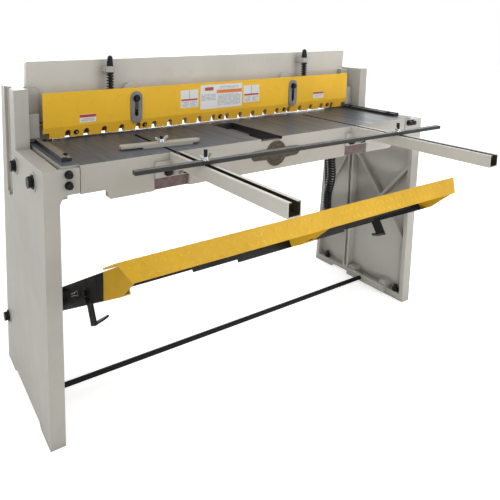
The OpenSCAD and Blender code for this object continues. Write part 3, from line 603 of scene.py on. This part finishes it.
def return_spring(side, hand):
    """A coil hung from its hanger under the table, with its lower end hooked round the arm's stud."""
    hanger_low, hanger_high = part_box("spring_hangers")
    stud_low, stud_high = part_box("spring_eyes")
    stud = Vector((side * (stud_high.x - 10 * MM), (stud_low.y + stud_high.y) / 2,
                   (stud_low.z + stud_high.z) / 2))
    y = (hanger_low.y + hanger_high.y) / 2
    bar_z = hanger_low.z + 6 * MM
    coil_r, wire, turns = 16.5 * MM, 3.6 * MM, 24
    coil_low, coil_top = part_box("return_springs")[0].z, bar_z - 22 * MM
    top_x, low_x = (652 * MM, 638 * MM) if side > 0 else (-672 * MM, -670 * MM)

    def lean(t):
        return Vector(((low_x - top_x) * (1 - ease((t - 0.18) / 0.42)), 4 * MM * math.sin(t * 9), 0))

    coil = helix((top_x, y), coil_r, coil_low, coil_top, turns, 18, lean)
    hook_x = side * (hanger_high.x - 20 * MM)
    top = curve_through([coil[-1], Vector((top_x, y, coil_top + 8 * MM)),
                         Vector((hook_x, y - 13 * MM, bar_z - 4 * MM)), Vector((hook_x, y, bar_z + 9 * MM)),
                         Vector((hook_x, y + 10 * MM, bar_z - 4 * MM))])
    eye = []
    for k in range(13):
        a = math.radians(90 + 290 * k / 12)
        eye.append(stud + Vector((0, math.cos(a), math.sin(a))) * 9.5 * MM)
    bottom = curve_through([coil[0], Vector((low_x + side * 6 * MM, y, coil_low - 10 * MM)),
                            Vector((stud.x - side * 4 * MM, y, stud.z + 26 * MM))] + eye)
    line = list(reversed(bottom))[:-1] + coil + top[1:]
    name = "return_spring_" + hand
    obj = new_piece(name, tube_mesh(name, line, wire, 8), spring_black)
    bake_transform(obj)
    return obj


def hold_down_spring(side, hand):
    """A coil round its stud, with both ends closed up, that moves with the hold-down."""
    low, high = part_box("hold_down_springs")
    stud_low, stud_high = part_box("hold_down_studs")
    x = side * (stud_high.x - 6 * MM)
    y = (stud_low.y + stud_high.y) / 2
    coil_r, wire, turns, per_turn = 11 * MM, 2.2 * MM, 17, 22
    closed, closed_rise = 0.06, 0.35
    end = closed * closed_rise
    length = high.z - low.z
    count = turns * per_turn
    points = []
    for i in range(count + 1):
        t = i / count
        if t < closed:
            rise = t * closed_rise
        elif t > 1 - closed:
            rise = 1 - (1 - t) * closed_rise
        else:
            rise = end + (t - closed) / (1 - 2 * closed) * (1 - 2 * end)
        a = 2 * math.pi * turns * t
        z = low.z + wire + (length - 2 * wire) * rise
        points.append(Vector((x + math.cos(a) * coil_r, y + math.sin(a) * coil_r, z)))
    name = "hold_down_spring_" + hand
    obj = new_piece(name, tube_mesh(name, points, wire, 8), spring_black, "hold_down")
    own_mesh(obj)
    return obj


for side, hand in SIDES:
    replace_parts(return_spring(side, hand), "return_springs")
for side, hand in SIDES:
    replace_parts(hold_down_spring(side, hand), "hold_down_springs")


# ---------- tread pattern ----------

def treadle_point(x, u, v):
    """A place on the treadle: across, forward along the arms, and square to them."""
    return Vector((x, PIVOT.y, PIVOT.z)) + FORWARD * u + NORMAL * v


def lozenge(bm, centre, along, across, up):
    """A raised pad with pointed ends and sloped sides."""
    length, width, height, sides = 21 * MM, 5.2 * MM, 0.8 * MM, 12
    rim, crown = [], []
    for k in range(sides):
        a = 2 * math.pi * k / sides
        c, s = math.cos(a), math.sin(a)
        c = math.copysign(abs(c) ** 0.85, c)
        s = math.copysign(abs(s) ** 1.25, s)
        flat = along * (c * length / 2) + across * (s * width / 2)
        rim.append(bm.verts.new(centre + flat - up * 0.4 * MM))
        crown.append(bm.verts.new(centre + flat * 0.62 + up * height))
    tip = bm.verts.new(centre + up * (height + 0.3 * MM))
    join_rings(bm, rim, crown)
    for k in range(sides):
        bm.faces.new((crown[k], crown[(k + 1) % sides], tip)).smooth = True
    bm.faces.new(list(reversed(rim)))


def tread_pattern():
    """Rows of lozenges on the tread's front and top faces, turned left and right by turns."""
    bm = bmesh.new()
    pitch = 24.5 * MM
    front_u = ARM_LEN + 5 * MM

    def row(half, place, up_slope, face_normal, first):
        count = int(half / pitch)
        for i in range(-count, count + 1):
            turn = math.radians(45 if (i + first) % 2 else -45)
            along = ACROSS * math.cos(turn) + up_slope * math.sin(turn)
            lozenge(bm, place(i * pitch), along, face_normal.cross(along), face_normal)

    for k, v in enumerate((4 * MM, 28.5 * MM)):
        half = 646 * MM + (v + 9 * MM) * 0.58
        row(half, lambda x, v=v: treadle_point(x, front_u, v), NORMAL, FORWARD, k)
    for k, back in enumerate((12 * MM, 36.5 * MM, 61 * MM)):
        row(676 * MM, lambda x, b=back: treadle_point(x, front_u - b, ARM_TOP + 5 * MM), -FORWARD, NORMAL, k)
    bm.normal_update()
    return new_piece("tread_pattern", finished_mesh("tread_pattern", bm, True), pad_yellow_lit,
                     "treadle")


tread_pattern()


# ---------- labels on the guard ----------

PAPER = (0.80, 0.80, 0.79)
RED = (0.50, 0.045, 0.03)
DARK_RED = (0.42, 0.07, 0.05)
ORANGE = (0.72, 0.21, 0.03)
GREY = (0.34, 0.34, 0.35)


def label_paper(name, width, height, bands, blocks):
    """White paper with solid bands and with blocks of ragged grey lines, placed in shares of the sheet."""
    s = Shader(name, PAPER, rough=0.4)
    u = s.math("MULTIPLY_ADD", s.axis(0), 1 / width, 0.5)
    v = s.math("MULTIPLY_ADD", s.axis(2), 1 / height, 0.5)

    def inside(u0, u1, v0, v1):
        return s.all_of(s.above(u, u0), s.below(u, u1), s.above(v, v0), s.below(v, v1))

    tone = s.mix(s.step(s.noise(60, 3), 0.4, 0.7, 0, 0.3), PAPER, shade(PAPER, 0.9))
    for u0, u1, v0, v1, pitch in blocks:
        line = s.above(s.math("FRACT", s.math("MULTIPLY", s.axis(2), 1 / (pitch * MM))), 0.45)
        ragged = s.above(s.noise(1.0, 2, (90, 1, 260)), 0.42)
        tone = s.mix(s.all_of(inside(u0, u1, v0, v1), line, ragged, 0.8), tone, GREY)
    for u0, u1, v0, v1, hue in bands:
        tone = s.mix(inside(u0, u1, v0, v1), tone, hue)
    s.color(tone)
    s.bump(s.noise(240, 3), 0.15, 0.1 * MM)
    return s.mat


def label(name, x, z, width, height, bands, blocks):
    """A thin sheet with rounded corners, stuck to the guard's front. Places and sizes are in mm."""
    width, height = width * MM, height * MM
    corner, steps = 3 * MM, 4
    outline = []
    for k, (sx, sz) in enumerate(((1, 1), (-1, 1), (-1, -1), (1, -1))):
        for j in range(steps + 1):
            a = math.radians(90 * k + 90 * j / steps)
            outline.append((sx * (width / 2 - corner) + corner * math.cos(a),
                            sz * (height / 2 - corner) + corner * math.sin(a)))
    bm = bmesh.new()
    face = [bm.verts.new((px, -0.5 * MM, pz)) for px, pz in outline]
    back = [bm.verts.new((px, 0.2 * MM, pz)) for px, pz in outline]
    bm.faces.new(face)
    bm.faces.new(list(reversed(back)))
    for k in range(len(outline)):
        n = (k + 1) % len(outline)
        bm.faces.new((face[k], back[k], back[n], face[n]))
    mesh = finished_mesh(name, bm, True)
    obj = bpy.data.objects.new(name, mesh)
    SCENE.collection.objects.link(obj)
    obj.location = (x * MM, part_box("finger_guard")[0].y, z * MM)
    mesh.materials.append(label_paper(name + "_paper", width, height, bands, blocks))
    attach(obj, "hold_down")


# A band is (u0, u1, v0, v1, colour), and a block (u0, u1, v0, v1, the pitch of its lines in mm).
PICTURE_BANDS = [(0.04, 0.96, 0.40, 0.50, RED), (0.485, 0.515, 0.5, 0.97, GREY)]
PICTURE_BLOCKS = [(0.06, 0.46, 0.05, 0.36, 4), (0.54, 0.94, 0.05, 0.36, 4)]
label("guard_label_left", -551, 878, 58, 27, [(0, 1, 0.62, 0.97, RED)], [(0.1, 0.9, 0.1, 0.5, 5)])
label("guard_label_right", 524, 883, 62, 28, [(0, 1, 0.66, 0.97, RED)], [(0.1, 0.9, 0.1, 0.55, 5)])
label("guard_label_pictures_a", -148, 913.5, 78, 66, PICTURE_BANDS, PICTURE_BLOCKS)
label("guard_label_pictures_b", 147, 914, 80, 68, PICTURE_BANDS, PICTURE_BLOCKS)
label("guard_label_main", 0, 914.5, 198, 92,
      [(0.38, 0.99, 0.62, 0.76, ORANGE), (0.10, 0.30, 0.76, 0.90, DARK_RED)],
      [(0.02, 0.36, 0.36, 0.62, 5), (0.40, 0.96, 0.10, 0.58, 5), (0.45, 0.90, 0.80, 0.93, 6)])


# ---------- small domes and rims ----------

def screw_centres():
    """Bright domed centres on the five black screws in the guard's leaning lower band."""
    facing = Vector((0, -math.cos(GUARD_LEAN), -math.sin(GUARD_LEAN)))
    slope = Vector((0, -math.sin(GUARD_LEAN), math.cos(GUARD_LEAN)))
    head_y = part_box("guard_screws")[0].y + 6 * MM * math.sin(GUARD_LEAN)
    head_z = 834 * MM - 5.5 * MM * math.sin(GUARD_LEAN)
    bm = bmesh.new()
    for x in (-590, -333, 0, 333, 590):
        dome(bm, Vector((x * MM, head_y, head_z)), ACROSS, slope, facing, 4.2 * MM, 1.4 * MM)
    return new_piece("guard_screw_centres", finished_mesh("guard_screw_centres", bm, True), zinc,
                     "hold_down")


def badge_rim():
    """A raised bead round the badge, a ring round its middle and two rivet heads on its wings."""
    low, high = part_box("badge_plate")
    front = low.y - 0.6 * MM
    mid_x, mid_z = (low.x + high.x) / 2, high.z - 44 * MM
    wing_x = high.x - mid_x - 17 * MM
    disc_r, wing_r, ring_r = 41.5 * MM, 14.5 * MM, 31 * MM

    def arc(x, radius, start, end, steps):
        angles = [math.radians(start + (end - start) * k / steps) for k in range(steps + 1)]
        return [Vector((mid_x + x + radius * math.cos(a), front, mid_z + radius * math.sin(a)))
                for a in angles]

    bead = (arc(0, disc_r, 24, 156, 22) + arc(-wing_x, wing_r, 95, 265, 12)
            + arc(0, disc_r, 204, 336, 22) + arc(wing_x, wing_r, -85, 85, 12))
    bead.append(bead[0])
    bm = bmesh.new()
    for side in (-1, 1):
        dome(bm, Vector((mid_x + side * wing_x, front, mid_z)), ACROSS, UP, TO_FRONT, 3.5 * MM, 2.2 * MM)
    meshes = [tube_mesh("rim", bead, 1.3 * MM, 8), tube_mesh("ring", arc(0, ring_r, 0, 360, 40), 1 * MM, 8),
              finished_mesh("rivets", bm, True)]
    return new_piece("badge_rim", merge_meshes("badge_rim", meshes), bronze, "frame")


screw_centres()
badge_rim()


# ---------- threads, clips and weld beads ----------

def thread(name, body, nut, bolt, joint):
    """The thread that shows on a gauge's stud, from inside its wing nut to the stud's end."""
    x, y = JOINTS[joint]["pos_m"][:2]
    z0, z1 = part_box(nut)[0].z + 12.5 * MM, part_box(bolt)[1].z - 1 * MM
    stud_r, pitch = 5 * MM, 1.5 * MM
    line = helix((x, y), stud_r, z0, z1, (z1 - z0) / pitch, 16)
    return new_piece(name, tube_mesh(name, line, pitch * 0.36, 6), black_oxide, body)


for side, hand in SIDES:
    thread("gauge_thread_" + hand, "front_gauge", "gauge_wing_nut_" + hand, "front_gauge_bolts",
           hand + "_wing_nut_turn")
thread("bevel_thread", "bevel_slide", "bevel_wing_nut", "bevel_gauge_bolt", "bevel_nut_turn")


def levelling_threads():
    """Threads on the four levelling screws, whose hexagon heads have corners in x and flats in y."""
    low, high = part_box("levelling_screws")
    head_r, screw_r = 13 * MM, 7.5 * MM
    inset = head_r * math.cos(math.pi / 6)
    meshes = []
    for side in (-1, 1):
        for y in (low.y + inset, high.y - inset):
            line = helix((side * (high.x - head_r), y), screw_r, 47 * MM, high.z - 1 * MM, 7, 16)
            meshes.append(tube_mesh("thread", line, 0.7 * MM, 6))
    return new_piece("levelling_threads", merge_meshes("levelling_threads", meshes), black_oxide,
                     "frame")


levelling_threads()


def hairpin(side, hand):
    """A bent wire clip through the small pin on the arm's outer face."""
    x = side * (ARM_OUTER_X + 7.5 * MM)
    pin_u, pin_v = 330, 4
    shape = [(-30, 6), (-10, 6.5), (0, 7.5), (10, 5.5), (20, 8.5), (30, 9.5),
             (36, 4), (34, -3), (26, -4), (10, -1.5), (-10, -1.2), (-34, -1)]
    line = curve_through([treadle_point(x, (pin_u + du) * MM, (pin_v + dv) * MM) for du, dv in shape], 5)
    name = "hairpin_" + hand
    return new_piece(name, tube_mesh(name, line, 1.1 * MM, 8), zinc, "treadle")


for side, hand in SIDES:
    hairpin(side, hand)


def weld_beads():
    """Rippled beads of weld up both sides of each support arm, at its flange."""
    y, low_z, length, steps = -81.6 * MM, 776.5 * MM, 13 * MM, 24
    meshes = []
    for hand in ("left", "right"):
        middle = JOINTS[hand + "_wing_nut_turn"]["pos_m"][0]
        for side in (-1, 1):
            points = []
            for k in range(steps + 1):
                t = k / steps
                out = TUBE_HALF + 0.6 * MM + 0.5 * MM * math.sin(t * 60)
                points.append(Vector((middle + side * out, y, low_z + t * length)))
            meshes.append(tube_mesh("bead", points, 2 * MM, 8))
    return new_piece("weld_beads", merge_meshes("weld_beads", meshes), tube_beige, "frame")


weld_beads()


# ---------- studio ----------

AMBIENT, BACKDROP, BACKDROP_SEEN_IN_STEEL = 0.72, 0.35, 4.0


def floor():
    """A pale paper floor that glows a little for the camera, so that it runs into the backdrop."""
    half, count = 14.0, 8
    bm = bmesh.new()
    grid = [[bm.verts.new((-half + 2 * half * i / count, -half + 2 * half * j / count, -0.5 * MM))
             for j in range(count + 1)] for i in range(count + 1)]
    for i in range(count):
        for j in range(count):
            bm.faces.new((grid[i][j], grid[i + 1][j], grid[i + 1][j + 1], grid[i][j + 1]))
    s = Shader("floor_paper", (0.86, 0.86, 0.855), rough=0.9)
    s.color(s.mix(s.step(s.noise(1.2, 3), 0.3, 0.7), (0.84, 0.84, 0.835), (0.88, 0.88, 0.875)))
    s.bsdf.inputs["Emission Color"].default_value = (1, 1, 1, 1)
    seen = s.node("ShaderNodeLightPath").outputs["Is Camera Ray"]
    s.feed(s.bsdf.inputs["Emission Strength"], s.math("MULTIPLY", seen, 0.62))
    s.bump(s.noise(30, 3), 0.05, 0.5 * MM)
    new_piece("floor", finished_mesh("floor", bm), s.mat)


def studio_world():
    """White to the camera. As a light it is dim in front and a bright backdrop behind the machine."""
    world = bpy.data.worlds.new("studio")
    SCENE.world = world
    world.use_nodes = True
    n = Nodes(world.node_tree)
    path = n.node("ShaderNodeLightPath").outputs
    place = n.node("ShaderNodeTexCoord").outputs["Generated"]
    behind = n.step(n.part(place, 1), 0.2, 0.8)
    low_down = n.step(n.part(place, 2), 0.75, 0.35)
    backdrop = n.math("MULTIPLY_ADD", path["Is Glossy Ray"], BACKDROP_SEEN_IN_STEEL - BACKDROP, BACKDROP)
    light = n.node("ShaderNodeBackground")
    light.inputs["Color"].default_value = (0.98, 0.99, 1.0, 1)
    n.feed(light.inputs["Strength"], n.math("MULTIPLY_ADD", n.all_of(behind, low_down), backdrop, AMBIENT))
    white = n.tree.nodes["Background"]
    white.inputs["Color"].default_value = (1, 1, 1, 1)
    white.inputs["Strength"].default_value = 1.0
    chosen = n.node("ShaderNodeMixShader")
    for socket, value in zip(chosen.inputs, (path["Is Camera Ray"], light.outputs[0], white.outputs[0])):
        n.link(value, socket)
    n.link(chosen.outputs[0], n.tree.nodes["World Output"].inputs["Surface"])


def softbox(name, place, target, size, power, tint=(1, 1, 1), spread=180):
    data = bpy.data.lights.new(name, "AREA")
    data.shape = "RECTANGLE"
    data.size, data.size_y = size
    data.energy = power
    data.color = tint
    data.spread = math.radians(spread)
    obj = bpy.data.objects.new(name, data)
    SCENE.collection.objects.link(obj)
    obj.location = place
    obj.visible_camera = False
    obj.rotation_euler = (Vector(target) - Vector(place)).to_track_quat("-Z", "Y").to_euler()


floor()
studio_world()
softbox("key_light", (-3.6, -1.6, 2.8), (0, 0, 0.6), (2.4, 2.0), 30, (1.0, 0.985, 0.96))
softbox("fill_light", (2.6, -3.6, 2.0), (0, 0, 0.5), (2.6, 2.0), 42)
softbox("low_light", (-1.5, -2.4, 0.3), (0.9, 0.15, 0.50), (1.3, 0.7), 1.6, spread=22)
softbox("rear_light", (0.6, 3.4, 2.6), (0, 0, 0.8), (3.0, 1.4), 12)


# ---------- camera ----------

# The photo's viewpoint. Turns are in degrees, and the lens and sensor in mm.
CAMERA_PLACE = (-1.169, -1.330, 1.192)
CAMERA_DOWN, CAMERA_ROLL, CAMERA_TURN = 7.67, -0.15, -29.93
LENS, SENSOR = 36.5, 36
SHIFT_X, SHIFT_Y = 0.1774, -0.3172


def driven_shift(camera, prop, value):
    """The lens shift holds for the photo's view and is 0 once another view turns the camera."""
    curve = camera.data.driver_add(prop)
    driver = curve.driver
    driver.type = "SUM"
    var = driver.variables.new()
    var.name = "mode"
    var.type = "SINGLE_PROP"
    var.targets[0].id_type = "OBJECT"
    var.targets[0].id = camera
    var.targets[0].data_path = "rotation_mode"
    for modifier in list(curve.modifiers):
        curve.modifiers.remove(modifier)
    curve.keyframe_points.add(2)
    curve.keyframe_points[0].co = (0.0, 0.0)
    curve.keyframe_points[1].co = (1.0, value)
    for key in curve.keyframe_points:
        key.interpolation = "LINEAR"
    curve.update()


camera = bpy.data.objects.new("camera", bpy.data.cameras.new("camera"))
SCENE.collection.objects.link(camera)
camera.location = CAMERA_PLACE
camera.rotation_mode = "XYZ"
camera.rotation_euler = Euler([math.radians(a) for a in (90 - CAMERA_DOWN, CAMERA_ROLL, CAMERA_TURN)], "XYZ")
camera.data.sensor_width = SENSOR
camera.data.lens = LENS
driven_shift(camera, "shift_x", SHIFT_X)
driven_shift(camera, "shift_y", SHIFT_Y)
SCENE.camera = camera
SCENE.view_settings.view_transform = "Standard"

bpy.context.view_layer.update()
